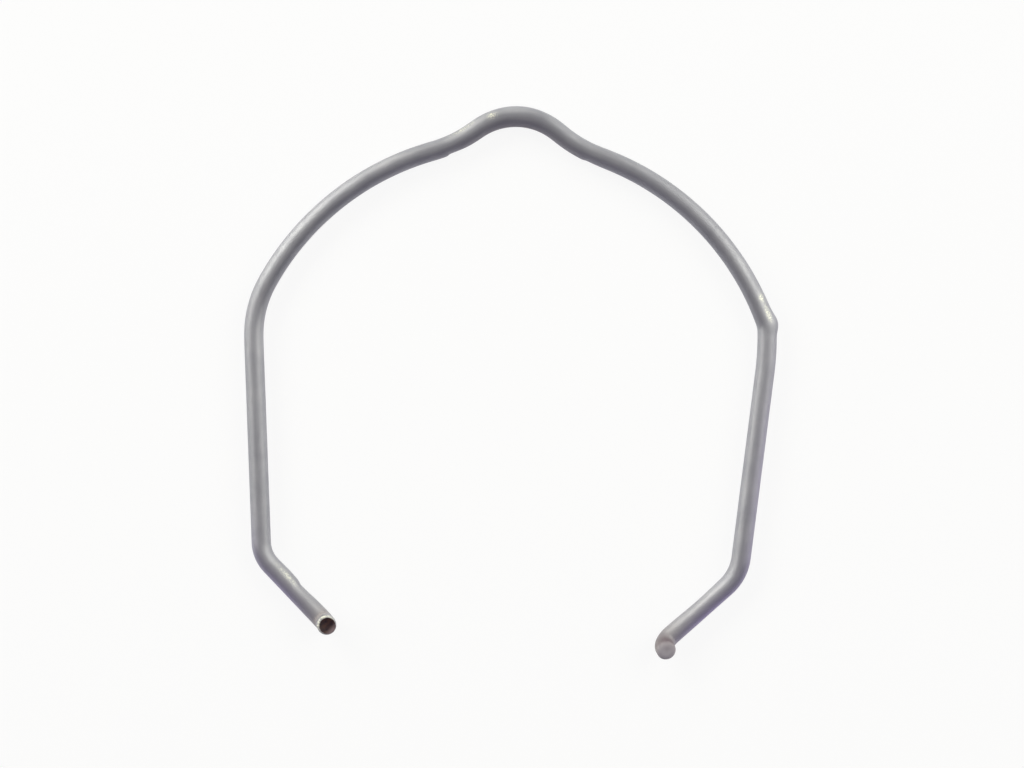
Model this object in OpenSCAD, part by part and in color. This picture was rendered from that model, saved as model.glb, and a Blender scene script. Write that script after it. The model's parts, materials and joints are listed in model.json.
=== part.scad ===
// Spring clip: one length of round spring wire, bent into an open ring with a hump and two legs.
// It lies flat with its tips up. The origin is on the axis of the ring, at the level it lies on.

/* [Wire] */
// Diameter of the wire
wire_diameter = 2.5; // [1.6:0.1:3.2]
// Straight run between one bend and the next
bend_gap = 1; // [0.5:0.1:2]
// Bevel round the cut end of each tip
cut_bevel = 0.2; // [0.05:0.05:0.4]

/* [Ring] */
// Inside radius of the ring that sits on the collar
ring_inside = 34.3; // [28:0.1:42]
// Angle from the middle of the hump to either end of the ring
ring_half_angle = 61.6; // [54:0.2:68]

/* [Hump] */
// Rise of the hump over the ring
hump_rise = 3.05; // [2:0.05:5]
// Inside radius of the top of the hump
hump_inside = 7.5; // [5:0.25:12]
// Inside radius of the reverse bend between hump and ring
neck_inside = 16; // [6:0.5:24]

/* [Legs] */
// Inside radius of the corner between ring and leg
corner_inside = 11.7; // [6:0.1:16]
// Angle at which the legs close in on each other
leg_lean = 4.6; // [0:0.2:8]
// Straight length of a leg
leg_length = 26; // [18:0.5:34]

/* [Feet] */
// Inside radius of the bend from leg to foot
foot_inside = 5; // [2:0.25:9]
// Angle by which a foot turns in from its leg
foot_angle = 41.8; // [25:0.2:55]
// Straight length of a foot
foot_length = 8.5; // [4:0.1:12]

/* [Tips] */
// Inside radius of the bend from foot to tip
tip_inside = 0.75; // [0.5:0.25:2.5]
// Angle by which a tip turns up from its foot
tip_angle = 82; // [45:1:90]
// Straight length of a tip
tip_length = 1.3; // [0.8:0.1:4]

/* [Hidden] */
$fn = 128;

// A bend is this much fuller than a straight, all round
bend_swell = 0.01;
// A straight reaches this far into the bends at its ends
seat = 0.1;

// Radii on the centreline of the wire
wire_radius = wire_diameter / 2;
ring_radius = ring_inside + wire_radius;
hump_radius = hump_inside + wire_radius;
neck_radius = neck_inside + wire_radius;
corner_radius = corner_inside + wire_radius;
foot_radius = foot_inside + wire_radius;
tip_radius = tip_inside + wire_radius;

// The centre of a neck is placed so that its two straights run tangent to the hump and to the ring
hump_centre_y = ring_radius + hump_rise - hump_radius;
neck_to_ring = norm([ring_radius + neck_radius, bend_gap]);
neck_to_hump = norm([hump_radius + neck_radius, bend_gap]);
neck_y = (neck_to_ring ^ 2 - neck_to_hump ^ 2 + hump_centre_y ^ 2) / (2 * hump_centre_y);
neck_x = sqrt(neck_to_ring ^ 2 - neck_y ^ 2);

// Angles from the middle of the hump to where the hump ends and to where the ring starts
hump_end = atan2(neck_x, neck_y - hump_centre_y) - atan2(bend_gap, hump_radius + neck_radius);
ring_start = atan2(neck_x, neck_y) + atan2(bend_gap, ring_radius + neck_radius);

// An arm as a bend table: straight run, roll about the wire, bend radius, bend angle (inwards positive)
roll_up = -90;
arm_steps = [
    [bend_gap, 0, neck_radius, ring_start - hump_end],
    [bend_gap, 0, ring_radius, ring_half_angle - ring_start],
    [bend_gap, 0, corner_radius, 90 + leg_lean - ring_half_angle],
    [leg_length, 0, foot_radius, foot_angle],
    [foot_length, roll_up, tip_radius, tip_angle]
];

// Straight along +Z, seated in the bends at both of its ends
module straight(length) {
    translate([0, 0, -seat])
        cylinder(d = wire_diameter, h = length + 2 * seat);
}

// Arc of wire round +Z, from the X axis on
module arc(radius, angle) {
    rotate_extrude(angle = angle)
        translate([radius, 0])
            circle(r = wire_radius + bend_swell);
}

// Bend that leaves the origin along +Z and curves towards +X, or towards -X if the angle is negative
module bend(radius, angle) {
    mirror([angle > 0 ? 1 : 0, 0, 0])
        translate([-radius, 0, 0])
            rotate([90, 0, 0])
                arc(radius, abs(angle));
}

// Moves what follows to the far end of a bend
module past_bend(radius, angle) {
    centre = [sign(angle) * radius, 0, 0];
    translate(centre)
        rotate([0, angle, 0])
            translate(-centre)
                children();
}

// Cut end of the wire along +Z, with a bevelled edge
module tip() {
    rotate_extrude()
        polygon([
            [0, -seat],
            [wire_radius, -seat],
            [wire_radius, tip_length - cut_bevel],
            [wire_radius - cut_bevel, tip_length],
            [0, tip_length]
        ]);
}

// Wire along a bend table, from one of its steps to the tip
module wire(steps, first = 0) {
    if (first == len(steps)) {
        tip();
    } else {
        run = steps[first][0];
        roll = steps[first][1];
        radius = steps[first][2];
        angle = steps[first][3];
        straight(run);
        translate([0, 0, run])
            rotate([0, 0, roll]) {
                bend(radius, angle);
                past_bend(radius, angle)
                    wire(steps, first + 1);
            }
    }
}

// Top of the hump, from one arm to the other
module hump() {
    rotate([0, 0, 90 - hump_end])
        arc(hump_radius, 2 * hump_end);
}

// Arm on the +X side, from the end of the hump on
module arm() {
    rotate([0, 0, -hump_end])
        translate([0, hump_radius, 0])
            rotate([-90, 0, -90])
                wire(arm_steps);
}

module spring_clip() {
    color("silver")
        translate([0, hump_centre_y, wire_radius + bend_swell]) {
            hump();
            arm();
            mirror([1, 0, 0])
                arm();
        }
}

spring_clip();
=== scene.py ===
"""Spring clip: one length of plated spring wire, bent to an open ring with two legs, on a pale floor.

Sizes are in millimetres and degrees, apart from the floor and the lamps, which are in metres.
Blender works in metres, so a place in millimetres is scaled by MM when it is made.
"""
import json
import math
from collections import namedtuple

import bpy
from mathutils import Matrix, Vector, noise


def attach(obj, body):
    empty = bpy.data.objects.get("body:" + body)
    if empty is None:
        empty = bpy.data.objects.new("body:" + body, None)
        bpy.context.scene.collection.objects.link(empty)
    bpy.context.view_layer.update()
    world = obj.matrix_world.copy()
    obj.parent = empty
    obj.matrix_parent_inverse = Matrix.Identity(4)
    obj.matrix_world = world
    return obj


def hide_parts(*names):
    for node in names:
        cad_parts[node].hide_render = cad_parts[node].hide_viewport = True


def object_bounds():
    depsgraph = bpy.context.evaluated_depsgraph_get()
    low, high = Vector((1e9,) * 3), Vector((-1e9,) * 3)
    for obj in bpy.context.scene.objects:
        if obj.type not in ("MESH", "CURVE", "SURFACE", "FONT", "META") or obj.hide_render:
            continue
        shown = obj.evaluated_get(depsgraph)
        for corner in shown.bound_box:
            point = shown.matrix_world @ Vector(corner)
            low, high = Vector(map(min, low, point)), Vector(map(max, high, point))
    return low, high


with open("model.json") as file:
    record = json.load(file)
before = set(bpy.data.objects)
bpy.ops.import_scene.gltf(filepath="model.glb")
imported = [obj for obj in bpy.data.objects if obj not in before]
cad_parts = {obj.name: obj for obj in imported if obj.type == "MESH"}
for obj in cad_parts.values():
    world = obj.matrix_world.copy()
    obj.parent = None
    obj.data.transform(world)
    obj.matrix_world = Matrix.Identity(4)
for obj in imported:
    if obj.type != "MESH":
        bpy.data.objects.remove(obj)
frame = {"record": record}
cad_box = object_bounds()

MM = 0.001

# Sizes that the frame gives
MOUNTS = {mount["name"]: mount for mount in frame["record"]["mounts"]}
WIRE_RADIUS = MOUNTS["left_leg"]["dims"]["r_mm"]
WIRE_LEVEL = MOUNTS["left_leg"]["pos_m"][2] / MM
RING_RADIUS = MOUNTS["collar"]["dims"]["r_mm"] + WIRE_RADIUS
HUMP_TOP = cad_box[1].y / MM - WIRE_RADIUS

# Bends that both sides share, on the centreline of the wire
HUMP_RADIUS = 8.7
NECK_RADIUS = 17.7
NECK_LEAD = 1.0
BOW_RADIUS = 38.6
TIP_RADIUS = 1.75
TIP_TURN = 86
TIP_LENGTH = 1.3

# Each side as it came out of the bending tool, from the end of its ring to its tip
Side = namedtuple(
    "Side",
    "ring_end corner_radius bow lean leg_length foot_radius foot_turn foot_length tip_roll",
)
LEFT = Side(ring_end=63.0, corner_radius=14.0, bow=2.4, lean=4.2, leg_length=25.4,
            foot_radius=4.6, foot_turn=41.4, foot_length=8.7, tip_roll=5)
RIGHT = Side(ring_end=67.9, corner_radius=4.2, bow=7.9, lean=5.2, leg_length=24.1,
             foot_radius=6.1, foot_turn=41.2, foot_length=9.35, tip_roll=-18)

# Angles round the wire, seen along it from the hump outwards
INSIDE = 0
UP = -90
HIGH_OUTSIDE = -120
LOW_OUTSIDE = -145
OUTSIDE = 180

# Fineness of the mesh
RING_SPACING = 0.25
POINTS_ROUND = 64

# Slow waves in the surface of the wire: height, and how fast they follow each other along it
WAVE_HEIGHT = 0.006
WAVE_RATE = 0.3

# What a mark can do to the coat: wear it bare, dull it, pale it, tint it violet or darken it. The
# paling is painted light, the violet and the darkening are painted shade, and some bare spots are
# painted highlights
SHADES = ("bare", "dull", "pale", "violet", "dark")
BARE_AND_GLINT, DULL, PAINTED_LIGHT, PAINTED_VIOLET_SHADE, PAINTED_SHADE = SHADES

# Marks of tools and handling, and of painted light, highlights and shade: distance from the tip's end,
# angle round the wire, reach towards the tip, reach towards the hump, spread round the wire, depth (a
# bulge if negative), shade and amount of shade
Mark = namedtuple(
    "Mark",
    "from_end angle to_tip to_hump spread depth shade amount",
    defaults=(0, None, 0),
)
ALL_ROUND = 1000
LEFT_MARKS = [
    # Bare rim of the cut end's lip, painted pale as its highlight too
    Mark(from_end=0, angle=UP, to_tip=0.5, to_hump=0.5, spread=75, shade=BARE_AND_GLINT, amount=1.6),
    Mark(from_end=3.0, angle=UP, to_tip=1.0, to_hump=1.0, spread=80, shade=DULL, amount=0.9),
    Mark(from_end=0, angle=UP, to_tip=9, to_hump=9, spread=ALL_ROUND, shade=DULL, amount=0.3),
    # Violet tint painted as shade on the lower outside of the foot
    Mark(from_end=9, angle=LOW_OUTSIDE, to_tip=4, to_hump=7, spread=42, shade=PAINTED_VIOLET_SHADE, amount=0.55),
    Mark(from_end=8.1, angle=INSIDE, to_tip=2.4, to_hump=0.5, spread=60, depth=0.19),
    Mark(from_end=10.4, angle=INSIDE, to_tip=1.0, to_hump=1.6, spread=50, depth=-0.06),
    # Scuff worn bare on the foot, painted bright as a highlight too
    Mark(from_end=9.8, angle=-55, to_tip=1.2, to_hump=2.0, spread=14,
         depth=0.02, shade=BARE_AND_GLINT, amount=0.9),
    Mark(from_end=80.0, angle=INSIDE, to_tip=0.3, to_hump=1.8, spread=50, depth=0.16),
    # Bare streak on the neck, painted bright as its highlight
    Mark(from_end=82.7, angle=-140, to_tip=1.6, to_hump=1.8, spread=14, shade=BARE_AND_GLINT, amount=0.8),
    # Bare spot on the hump, painted as a glint
    Mark(from_end=86.8, angle=HIGH_OUTSIDE, to_tip=0.4, to_hump=0.5, spread=16,
         depth=0.01, shade=BARE_AND_GLINT, amount=1.9),
]
RIGHT_MARKS = [
    Mark(from_end=0, angle=UP, to_tip=3.2, to_hump=3.2, spread=ALL_ROUND, shade=DULL, amount=0.7),
    Mark(from_end=0, angle=UP, to_tip=9, to_hump=9, spread=ALL_ROUND, shade=DULL, amount=0.35),
    # Paler rounded end: painted light, since the end leans away from the lamps
    Mark(from_end=0, angle=UP, to_tip=0.6, to_hump=0.6, spread=ALL_ROUND, shade=PAINTED_LIGHT, amount=0.8),
    # Painted shade in the crease where the rounded tip turns up from the foot
    Mark(from_end=0.7, angle=-60, to_tip=0.7, to_hump=2.4, spread=70, shade=PAINTED_SHADE, amount=0.75),
    # Violet tint painted as shade on the lower outside of the foot
    Mark(from_end=8.5, angle=LOW_OUTSIDE, to_tip=4.5, to_hump=8, spread=42, shade=PAINTED_VIOLET_SHADE, amount=0.8),
    Mark(from_end=9.5, angle=INSIDE, to_tip=4, to_hump=3.5, spread=60, depth=0.15),
    # Violet tint painted as shade on the lower outside of the right leg
    Mark(from_end=28, angle=LOW_OUTSIDE, to_tip=14, to_hump=14, spread=42, shade=PAINTED_VIOLET_SHADE, amount=0.3),
    Mark(from_end=48.0, angle=OUTSIDE, to_tip=0.8, to_hump=1.2, spread=50, depth=-0.3),
    # Two bare spots on the right corner, painted bright as glints too
    Mark(from_end=49.1, angle=HIGH_OUTSIDE, to_tip=0.7, to_hump=1.2, spread=14,
         depth=0.02, shade=BARE_AND_GLINT, amount=1.4),
    Mark(from_end=51.5, angle=HIGH_OUTSIDE, to_tip=0.4, to_hump=0.4, spread=14,
         depth=0.02, shade=BARE_AND_GLINT, amount=1.6),
    Mark(from_end=81.1, angle=INSIDE, to_tip=1.5, to_hump=0.3, spread=50, depth=0.1),
]
# Swelling on the outside of the hump, and painted shade on its inside. Both lie about its middle, so
# arm_rings sets their distance from the end to the length of the arm
HUMP_MARKS = [
    Mark(from_end=0, angle=OUTSIDE, to_tip=4.5, to_hump=4.5, spread=60, depth=-0.2),
    # Painted shade along the inside of the hump
    Mark(from_end=0, angle=INSIDE, to_tip=10, to_hump=10, spread=60, shade=PAINTED_SHADE, amount=0.45),
]

# Cut end on the left: its rolled lip, and its dished face as shares of the radius inside the lip
LIP_RADIUS = 0.2
LIP_ANGLES = range(0, 91, 18)
FACE_SHIFT = 0.14
FACE_SHARES = (0.94, 0.8, 0.6, 0.4, 0.2)
DISH_DEPTH = 0.18

# Rounded end on the right. The lower the power, the fuller the dome
DOME_HEIGHT = 0.5
DOME_POWER = 0.6
DOME_ANGLES = range(6, 90, 7)

# Colours
COAT_DARKEST = (0.345, 0.347, 0.40)
COAT_PALEST = (0.435, 0.437, 0.485)
# Bare steel, also used for painted highlights and glints
BARE_AND_GLINT_COLOUR = (0.78, 0.78, 0.70)
DULL_COLOUR = (0.33, 0.305, 0.325)
# Colour of the painted light on the rounded right end
PAINTED_LIGHT_COLOUR = (0.52, 0.49, 0.55)
# Colour of the violet painted shade on the sides away from the lamps
PAINTED_VIOLET_SHADE_COLOUR = (0.44, 0.385, 0.63)
# Colour of the painted shade in the tip's crease and on the inside of the hump
PAINTED_SHADE_COLOUR = (0.085, 0.05, 0.07)
CUT_DARKEST = (0.014, 0.005, 0.012)
CUT_BROWN = (0.06, 0.025, 0.02)
CUT_RUBBED = (0.2, 0.15, 0.17)
FLOOR_DARKEST = (0.78, 0.78, 0.79)
FLOOR_PALEST = (0.82, 0.82, 0.82)

# Tone of the coat: clouds, streaks along the wire, and the noise levels of its two colours
CLOUD_SCALE = 0.45
STREAK_STRETCH = (4, 4, 0.25)
STREAK_SHARE = 0.4
TONE_LOW = 0.3
TONE_HIGH = 0.7

# Grain of the coat, and the grain levels between which a bare spot sets in
GRAIN_SCALE = 6
GRAIN_STRENGTH = 0.15
GRAIN_DEPTH = 0.02
RAGGED_LOW = 0.42
RAGGED_HIGH = 0.58

# Sheen of the coat where it is whole and where it is dull
COAT_METALLIC = 0.6
DULL_METALLIC = 0.05
COAT_ANISOTROPY = 0.8
DULL_ANISOTROPY = 0
COAT_SMOOTHEST = 0.37
COAT_ROUGHEST = 0.51
DULL_ROUGHNESS = 0.65

# Cut steel: torn grain, noise levels of its two colours, and how far from its middle the rubbed edge
# starts and is full
TORN_SCALE = 2.2
TORN_STRENGTH = 0.5
TORN_DEPTH = 0.05
CUT_LOW = 0.35
CUT_HIGH = 0.7
RUBBED_START = 0.3
RUBBED_FULL = 1.0
CUT_METALLIC = 0.2
CUT_ROUGHNESS = 0.6

# Places of the clip's materials in its list
COAT, CUT_FACE = range(2)

# Floor: half its side in metres, how much of it is plain white to the camera and to reflections,
# and how fine its speckle is
FLOOR_HALF = 3
FLOOR_WHITE_SHARE = 0.9
SPECKLE_SCALE = 2400

# Camera: straight down, turned a little against the clip. Its near limit is in metres
PHOTO_WIDTH = 1024
PIXELS_PER_MM = 7.72
CAMERA_LENS = 85
CAMERA_SENSOR = 36
CAMERA_NEAR = 0.01
CAMERA_AIM = (0.46, 4.06)
CAMERA_TURN = 2.09

# Lamps in metres and watts that face the clip. Azimuth is from +X towards +Y
LAMP_DISTANCE = 0.6
LAMP_HEIGHT = 0.25
WIDE = 0.85
SMALL = 0.25
WARM = (1, 1, 0.86)
VIOLET_FILL = (0.75, 0.6, 1)
WORLD_COLOUR = (0.08, 0.07, 0.105)
Lamp = namedtuple("Lamp", "name azimuth elevation width power colour")
LAMPS = [
    Lamp("left_lamp", 150, 30, WIDE, 3.05, WARM),
    Lamp("left_key", 140, 28, SMALL, 0.7, WARM),
    Lamp("right_lamp", 28, 30, WIDE, 2.25, WARM),
    Lamp("right_key", 28, 50, SMALL, 0.65, WARM),
    Lamp("back_lamp", 90, 20, SMALL, 0.55, WARM),
    Lamp("fill_lamp", 270, 25, WIDE, 0.12, VIOLET_FILL),
]

# A straight run with the bend after it, and a point of the wire's skin
Step = namedtuple("Step", "run roll radius turn")
Point = namedtuple("Point", "place unbent round_dir shades")


def neck_angles():
    """Angles from the middle of the hump to where the hump ends and to where the ring starts."""
    hump_centre = HUMP_TOP - HUMP_RADIUS
    to_ring = math.hypot(RING_RADIUS + NECK_RADIUS, NECK_LEAD)
    to_hump = math.hypot(HUMP_RADIUS + NECK_RADIUS, NECK_LEAD)
    neck_y = (to_ring ** 2 - to_hump ** 2 + hump_centre ** 2) / (2 * hump_centre)
    neck_x = math.sqrt(to_ring ** 2 - neck_y ** 2)
    hump_lead = math.atan2(NECK_LEAD, HUMP_RADIUS + NECK_RADIUS)
    ring_lead = math.atan2(NECK_LEAD, RING_RADIUS + NECK_RADIUS)
    hump_end = math.atan2(neck_x, neck_y - hump_centre) - hump_lead
    ring_start = math.atan2(neck_x, neck_y) + ring_lead
    return math.degrees(hump_end), math.degrees(ring_start)


def arm_steps(side):
    """Straight runs and bends of one arm, from the middle of the hump to the tip.

    A positive turn is inwards.
    """
    hump_end, ring_start = neck_angles()
    corner_turn = 90 + side.lean - side.ring_end - side.bow
    return [
        Step(0, 0, HUMP_RADIUS, hump_end),
        Step(NECK_LEAD, 0, NECK_RADIUS, ring_start - hump_end),
        Step(NECK_LEAD, 0, RING_RADIUS, side.ring_end - ring_start),
        Step(0, 0, side.corner_radius, corner_turn),
        Step(0, 0, BOW_RADIUS, side.bow),
        Step(side.leg_length, 0, side.foot_radius, side.foot_turn),
        Step(side.foot_length, UP + side.tip_roll, TIP_RADIUS, TIP_TURN),
        Step(TIP_LENGTH, 0, TIP_RADIUS, 0),
    ]


def past_bend(place, step, share):
    """The place that a share of a step's bend leads to, with no twist of the wire."""
    pivot = Matrix.Translation((math.copysign(step.radius, step.turn), 0, 0))
    roll = Matrix.Rotation(math.radians(step.roll), 4, "Z")
    turn = Matrix.Rotation(math.radians(step.turn) * share, 4, "Y")
    return place @ roll @ pivot @ turn @ pivot.inverted() @ roll.inverted()


def walk(steps):
    """Places along an arm on the +X side, each with its distance from the middle of the hump.

    A place's own Z runs along the wire, its X points to the inside of the clip and its Y down.
    """
    place = Matrix(((0, 0, 1, 0), (-1, 0, 0, HUMP_TOP), (0, -1, 0, WIRE_LEVEL), (0, 0, 0, 1)))
    along = 0
    places = [(along, place)]
    for step in steps:
        count = math.ceil(step.run / RING_SPACING)
        for k in range(1, count + 1):
            run = step.run * k / count
            places.append((along + run, place @ Matrix.Translation((0, 0, run))))
        along, place = places[-1]
        arc = step.radius * math.radians(abs(step.turn))
        count = math.ceil(arc / RING_SPACING)
        for k in range(1, count + 1):
            places.append((along + arc * k / count, past_bend(place, step, k / count)))
        along, place = places[-1]
    return places


def mark_strength(mark, from_end, angle):
    """How strongly a mark shows at a point of the wire, from 0 to 1."""
    off = mark.from_end - from_end
    reach = mark.to_tip if off > 0 else mark.to_hump
    round_off = (angle - mark.angle + 180) % 360 - 180
    return math.exp(-(off / reach) ** 2 - (round_off / mark.spread) ** 2)


def wire_ring(place, along, from_end, marks, radius, back=0, shift=0):
    """One ring of points.

    Each has its place, its place on the unbent wire, the direction round the wire, and how much of each
    shade the coat has there.
    """
    points = []
    axes = place.to_3x3()
    for k in range(POINTS_ROUND):
        angle = 360 * k / POINTS_ROUND
        turn = math.radians(angle)
        across = Vector((math.cos(turn), math.sin(turn), 0))
        shown = [(mark, mark_strength(mark, from_end, angle)) for mark in marks]
        depth = sum(mark.depth * strength for mark, strength in shown)
        shades = []
        for shade in SHADES:
            amounts = [mark.amount * strength for mark, strength in shown if mark.shade == shade]
            shades.append(sum(amounts))
        wave = WAVE_HEIGHT * noise.noise(Vector((across.x, across.y, along * WAVE_RATE)))
        local = across * (radius * (1 - depth / WIRE_RADIUS) + wave) + Vector((0, shift, -back))
        unbent = across * radius + Vector((0, 0, along))
        round_dir = axes @ Vector((-across.y, across.x, 0))
        points.append(Point(place @ local, unbent, round_dir, shades))
    return points


def cut_profile():
    """End of the wire where it was sheared off: a rolled lip, then a dished face off the middle.

    Radius, set-back and shift of each ring.
    """
    lip = []
    for angle in LIP_ANGLES:
        inwards = 1 - math.cos(math.radians(angle))
        back = LIP_RADIUS * (1 - math.sin(math.radians(angle)))
        lip.append((WIRE_RADIUS - LIP_RADIUS * inwards, back, FACE_SHIFT * inwards))
    inner = WIRE_RADIUS - LIP_RADIUS
    face = []
    for share in FACE_SHARES:
        face.append((inner * share, DISH_DEPTH * (1 - share ** 2), FACE_SHIFT))
    return lip, face


def dome_profile():
    """End of the wire that the coat has rounded over. Radius, set-back and shift of each ring."""
    dome = []
    for angle in DOME_ANGLES:
        turn = math.radians(angle)
        radius = WIRE_RADIUS * math.cos(turn) ** DOME_POWER
        dome.append((radius, DOME_HEIGHT * (1 - math.sin(turn)), 0))
    return dome, []


def arm_rings(side, marks, end_profile, mirrored):
    """Rings of one arm from the hump to its end, and how many of the last ones are its cut face."""
    flip = Matrix.Scale(-1, 4, (1, 0, 0)) if mirrored else Matrix.Identity(4)
    sign = -1 if mirrored else 1
    places = walk(arm_steps(side))
    length = places[-1][0]
    marks = marks + [mark._replace(from_end=length) for mark in HUMP_MARKS]
    coated, face = end_profile()
    set_back = coated[0][1]
    rings = []
    for along, place in places:
        if along < length - set_back:
            rings.append(wire_ring(flip @ place, sign * along, length - along, marks, WIRE_RADIUS))
    end = flip @ places[-1][1]
    for radius, back, shift in coated + face:
        rings.append(wire_ring(end, sign * length, back, marks, radius, back, shift))
    return rings, len(face)


def skin_faces(ring_count, face_rings):
    """Faces of a skin over rings, with a middle point at either end, and the material of each."""
    first = ring_count * POINTS_ROUND
    last = first + 1
    last_row = first - POINTS_ROUND
    faces = []
    materials = []
    for k in range(POINTS_ROUND):
        after = (k + 1) % POINTS_ROUND
        faces.append((first, after, k))
        materials.append(CUT_FACE)
        for n in range(ring_count - 1):
            row, next_row = n * POINTS_ROUND, (n + 1) * POINTS_ROUND
            faces.append((row + k, row + after, next_row + after, next_row + k))
            materials.append(CUT_FACE if n < face_rings else COAT)
        faces.append((last_row + k, last_row + after, last))
        materials.append(COAT)
    return faces, materials


def skin_points(rings):
    """Points of all rings in turn, and then the middle points of the first ring and the last."""
    points = [point for ring in rings for point in ring]
    for ring in (rings[0], rings[-1]):
        middle = sum((point.place for point in ring), Vector()) / POINTS_ROUND
        unbent = sum((point.unbent for point in ring), Vector()) / POINTS_ROUND
        points.append(ring[0]._replace(place=middle, unbent=unbent))
    return points


def wire_mesh():
    """The whole clip as one closed skin, from the left tip to the right tip."""
    left, left_face = arm_rings(LEFT, LEFT_MARKS, cut_profile, mirrored=True)
    right, _ = arm_rings(RIGHT, RIGHT_MARKS, dome_profile, mirrored=False)
    rings = left[::-1] + right[1:]
    points = skin_points(rings)
    faces, materials = skin_faces(len(rings), left_face)
    mesh = bpy.data.meshes.new("clip_wire")
    mesh.from_pydata([point.place * MM for point in points], [], faces)
    unbent = mesh.attributes.new("wire_co", "FLOAT_VECTOR", "POINT")
    unbent.data.foreach_set("vector", [x for point in points for x in point.unbent])
    round_dir = mesh.attributes.new("round_dir", "FLOAT_VECTOR", "POINT")
    round_dir.data.foreach_set("vector", [x for point in points for x in point.round_dir])
    for n, shade in enumerate(SHADES):
        amounts = mesh.attributes.new(shade, "FLOAT", "POINT")
        amounts.data.foreach_set("value", [point.shades[n] for point in points])
    mesh.polygons.foreach_set("material_index", materials)
    mesh.shade_smooth()
    mesh.update()
    return mesh


def new_material(name):
    """A node material, with its nodes and its main shader."""
    material = bpy.data.materials.new(name)
    material.use_nodes = True
    return material, material.node_tree, material.node_tree.nodes["Principled BSDF"]


def read_attribute(tree, name):
    """Node that reads an attribute of the mesh."""
    node = tree.nodes.new("ShaderNodeAttribute")
    node.attribute_name = name
    return node


def noise_level(tree, place, scale, detail):
    """Noise at a place, from 0 to 1."""
    node = tree.nodes.new("ShaderNodeTexNoise")
    node.inputs["Scale"].default_value = scale
    node.inputs["Detail"].default_value = detail
    tree.links.new(place, node.inputs["Vector"])
    return node.outputs["Fac"]


def ramp(tree, level, low, low_colour, high, high_colour):
    """Colour that goes from one to another as a level goes from low to high."""
    node = tree.nodes.new("ShaderNodeValToRGB")
    first, last = node.color_ramp.elements
    first.position = low
    first.color = (*low_colour, 1)
    last.position = high
    last.color = (*high_colour, 1)
    tree.links.new(level, node.inputs["Fac"])
    return node.outputs["Color"]


def mapped(tree, level, to_low, to_high, low=0, high=1):
    """Level moved from its own range to another one, and kept within it."""
    node = tree.nodes.new("ShaderNodeMapRange")
    node.inputs["From Min"].default_value = low
    node.inputs["From Max"].default_value = high
    node.inputs["To Min"].default_value = to_low
    node.inputs["To Max"].default_value = to_high
    tree.links.new(level, node.inputs["Value"])
    return node.outputs["Result"]


def combined(tree, operation, first, second):
    """Two levels put together, and kept from 0 to 1."""
    node = tree.nodes.new("ShaderNodeMath")
    node.operation = operation
    node.use_clamp = True
    tree.links.new(first, node.inputs[0])
    tree.links.new(second, node.inputs[1])
    return node.outputs["Value"]


def tinted(tree, colour, amount, tint):
    """Colour that gives way to a fixed one by an amount."""
    node = tree.nodes.new("ShaderNodeMix")
    node.data_type = "RGBA"
    node.inputs["B"].default_value = (*tint, 1)
    tree.links.new(amount, node.inputs["Factor"])
    tree.links.new(colour, node.inputs["A"])
    return node.outputs["Result"]


def add_bump(tree, shader, height, strength, distance):
    """Fine unevenness of a surface. The distance is in millimetres."""
    node = tree.nodes.new("ShaderNodeBump")
    node.inputs["Strength"].default_value = strength
    node.inputs["Distance"].default_value = distance * MM
    tree.links.new(height, node.inputs["Height"])
    tree.links.new(node.outputs["Normal"], shader.inputs["Normal"])


def coat_tone(tree, place):
    """Broad clouds with faint streaks along the wire."""
    clouds = noise_level(tree, place, scale=CLOUD_SCALE, detail=4)
    stretch = tree.nodes.new("ShaderNodeMapping")
    stretch.inputs["Scale"].default_value = STREAK_STRETCH
    tree.links.new(place, stretch.inputs["Vector"])
    streaks = noise_level(tree, stretch.outputs["Vector"], scale=1, detail=3)
    tone = tree.nodes.new("ShaderNodeMix")
    tone.data_type = "FLOAT"
    tone.inputs["Factor"].default_value = STREAK_SHARE
    tree.links.new(clouds, tone.inputs["A"])
    tree.links.new(streaks, tone.inputs["B"])
    return tone.outputs["Result"]


def coat_colour(tree, place, grain, shades):
    """Colour of the coat, with its marks' shades, some of them painted light and shade. The grain
    breaks up the bare ones.
    """
    colour = ramp(tree, coat_tone(tree, place), TONE_LOW, COAT_DARKEST, TONE_HIGH, COAT_PALEST)
    ragged = mapped(tree, grain, 0, 1, low=RAGGED_LOW, high=RAGGED_HIGH)
    colour = tinted(tree, colour, shades[DULL], DULL_COLOUR)
    # Painted light on the rounded right end
    colour = tinted(tree, colour, shades[PAINTED_LIGHT], PAINTED_LIGHT_COLOUR)
    # Bare spots, several of them painted highlights
    colour = tinted(tree, colour, combined(tree, "MULTIPLY", shades[BARE_AND_GLINT], ragged), BARE_AND_GLINT_COLOUR)
    # Violet painted shade on the sides away from the lamps
    colour = tinted(tree, colour, shades[PAINTED_VIOLET_SHADE], PAINTED_VIOLET_SHADE_COLOUR)
    # Painted shade in the crease of the right tip and on the inside of the hump
    return tinted(tree, colour, shades[PAINTED_SHADE], PAINTED_SHADE_COLOUR)


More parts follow.
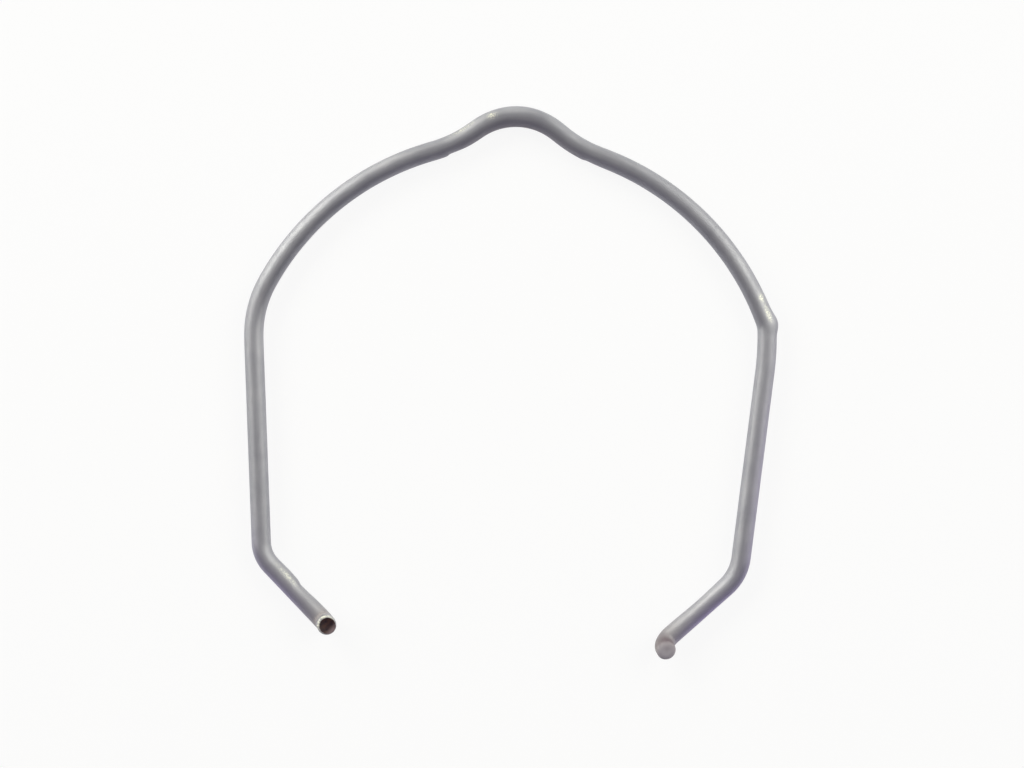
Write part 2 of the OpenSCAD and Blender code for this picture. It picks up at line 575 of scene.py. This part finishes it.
def plated_coat():
    """Satin grey coat of drawn wire, with a fine grain and the shades of its marks, some painted light
    and shade.
    """
    material, tree, shader = new_material("zinc_coat")
    place = read_attribute(tree, "wire_co").outputs["Vector"]
    shades = {shade: read_attribute(tree, shade).outputs["Fac"] for shade in SHADES}
    grain = noise_level(tree, place, scale=GRAIN_SCALE, detail=3)
    tree.links.new(coat_colour(tree, place, grain, shades), shader.inputs["Base Color"])

    # Where the coat is dull it loses its metal sheen and its streak along the wire
    dull = shades[DULL]
    tree.links.new(mapped(tree, dull, COAT_METALLIC, DULL_METALLIC), shader.inputs["Metallic"])
    tree.links.new(mapped(tree, dull, COAT_ANISOTROPY, DULL_ANISOTROPY), shader.inputs["Anisotropic"])
    rough = tree.nodes.new("ShaderNodeMix")
    rough.data_type = "FLOAT"
    rough.inputs["B"].default_value = DULL_ROUGHNESS
    tree.links.new(dull, rough.inputs["Factor"])
    tree.links.new(mapped(tree, grain, COAT_SMOOTHEST, COAT_ROUGHEST), rough.inputs["A"])
    tree.links.new(rough.outputs["Result"], shader.inputs["Roughness"])
    tree.links.new(read_attribute(tree, "round_dir").outputs["Vector"], shader.inputs["Tangent"])
    add_bump(tree, shader, grain, GRAIN_STRENGTH, GRAIN_DEPTH)
    return material


def cut_steel():
    """Bare sheared end of the wire: dark oxide with browner spots and a paler lower edge."""
    material, tree, shader = new_material("cut_steel")
    place = read_attribute(tree, "wire_co").outputs["Vector"]
    torn = noise_level(tree, place, scale=TORN_SCALE, detail=5)
    colour = ramp(tree, torn, CUT_LOW, CUT_DARKEST, CUT_HIGH, CUT_BROWN)
    split = tree.nodes.new("ShaderNodeSeparateXYZ")
    tree.links.new(place, split.inputs["Vector"])
    low_edge = mapped(tree, split.outputs["Y"], 0, 1, low=RUBBED_START, high=RUBBED_FULL)
    tree.links.new(tinted(tree, colour, low_edge, CUT_RUBBED), shader.inputs["Base Color"])
    shader.inputs["Metallic"].default_value = CUT_METALLIC
    shader.inputs["Roughness"].default_value = CUT_ROUGHNESS
    add_bump(tree, shader, torn, TORN_STRENGTH, TORN_DEPTH)
    return material


def make_clip():
    """The clip, which takes the place of its plain solid."""
    clip = bpy.data.objects.new("clip_wire", wire_mesh())
    bpy.context.scene.collection.objects.link(clip)
    clip.data.materials.append(plated_coat())
    clip.data.materials.append(cut_steel())
    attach(clip, "root")
    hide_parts("spring_clip")


def floor_material():
    """Pale floor, nearly white to the camera and to reflections. It keeps part of the clip's shadow."""
    material, tree, shader = new_material("pale_floor")
    place = tree.nodes.new("ShaderNodeTexCoord").outputs["Object"]
    speckle = noise_level(tree, place, scale=SPECKLE_SCALE, detail=2)
    tree.links.new(ramp(tree, speckle, 0, FLOOR_DARKEST, 1, FLOOR_PALEST), shader.inputs["Base Color"])
    shader.inputs["Roughness"].default_value = 1
    shader.inputs["Specular IOR Level"].default_value = 0
    rays = tree.nodes.new("ShaderNodeLightPath").outputs
    seen = combined(tree, "MAXIMUM", rays["Is Camera Ray"], rays["Is Glossy Ray"])
    seen = combined(tree, "MAXIMUM", seen, rays["Is Transmission Ray"])
    white = tree.nodes.new("ShaderNodeEmission")
    mix = tree.nodes.new("ShaderNodeMixShader")
    tree.links.new(mapped(tree, seen, 0, FLOOR_WHITE_SHARE), mix.inputs["Fac"])
    tree.links.new(shader.outputs["BSDF"], mix.inputs[1])
    tree.links.new(white.outputs["Emission"], mix.inputs[2])
    tree.links.new(mix.outputs["Shader"], tree.nodes["Material Output"].inputs["Surface"])
    return material


def make_floor():
    """Flat floor that the clip lies on."""
    near, far = -FLOOR_HALF, FLOOR_HALF
    corners = [(near, near, 0), (far, near, 0), (far, far, 0), (near, far, 0)]
    mesh = bpy.data.meshes.new("floor")
    mesh.from_pydata(corners, [], [(0, 1, 2, 3)])
    floor = bpy.data.objects.new("floor", mesh)
    bpy.context.scene.collection.objects.link(floor)
    floor.data.materials.append(floor_material())


def make_lamp(lamp):
    """Soft lamp that the camera does not see."""
    data = bpy.data.lights.new(lamp.name, "AREA")
    data.shape = "RECTANGLE"
    data.size = lamp.width
    data.size_y = LAMP_HEIGHT
    data.energy = lamp.power
    data.color = lamp.colour
    turn, rise = math.radians(lamp.azimuth), math.radians(lamp.elevation)
    away = Vector((math.cos(turn) * math.cos(rise), math.sin(turn) * math.cos(rise), math.sin(rise)))
    made = bpy.data.objects.new(lamp.name, data)
    made.location = away * LAMP_DISTANCE
    made.rotation_euler = away.to_track_quat("Z", "Y").to_euler()
    made.visible_camera = False
    bpy.context.scene.collection.objects.link(made)


def make_world():
    """Dim, slightly violet surroundings."""
    world = bpy.data.worlds.new("studio")
    bpy.context.scene.world = world
    world.use_nodes = True
    world.node_tree.nodes["Background"].inputs["Color"].default_value = (*WORLD_COLOUR, 1)


def make_camera():
    """Camera above the clip, as far away as gives the wire its size in the photo."""
    data = bpy.data.cameras.new("camera")
    data.lens = CAMERA_LENS
    data.sensor_width = CAMERA_SENSOR
    data.clip_start = CAMERA_NEAR
    distance = PHOTO_WIDTH / PIXELS_PER_MM * CAMERA_LENS / CAMERA_SENSOR
    camera = bpy.data.objects.new("camera", data)
    camera.location = Vector((*CAMERA_AIM, WIRE_LEVEL + distance)) * MM
    camera.rotation_euler = (0, 0, math.radians(CAMERA_TURN))
    bpy.context.scene.collection.objects.link(camera)
    bpy.context.scene.camera = camera


make_camera()
make_clip()
make_floor()
for each_lamp in LAMPS:
    make_lamp(each_lamp)
make_world()
bpy.context.scene.view_settings.view_transform = "Standard"
